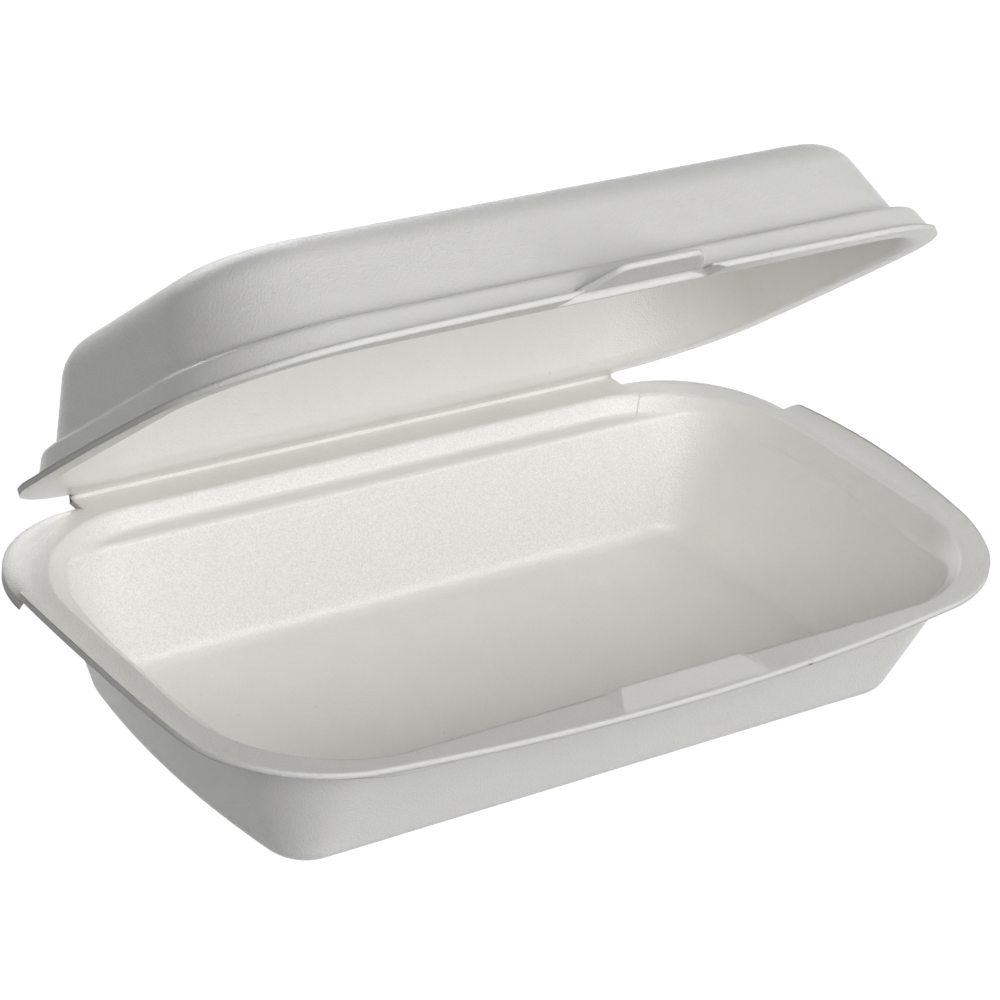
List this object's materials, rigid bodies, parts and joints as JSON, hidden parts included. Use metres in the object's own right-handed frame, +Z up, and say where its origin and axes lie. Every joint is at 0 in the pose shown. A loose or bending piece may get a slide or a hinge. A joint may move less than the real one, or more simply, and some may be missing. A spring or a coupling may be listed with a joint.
{
  "type": "foam clamshell container",
  "caption": "Hinged foam lunch box with a deep rounded tray, a stepped domed lid with a front tab, and a pressed crease along the back.",
  "frame": {"origin": "middle of the tray's flat underside", "axes": "+X to the right along the crease, -Y to the front where the tab is, +Z up"},
  "size_m": [0.2398, 0.1469, 0.135],
  "materials": {
    "foam": "satin skin of pressed foam, off-white"
  },
  "bodies": {
    "tray": {"tray": "foam"},
    "lid": {"lid": "foam"}
  },
  "joints": [
    {"name": "lid_crease", "type": "hinge", "parent": "tray", "child": "lid", "pos_m": [0, 0.07, 0.03875], "axis": [-1, 0, 0], "range_deg": [-38.8, 141.2]}
  ]
}
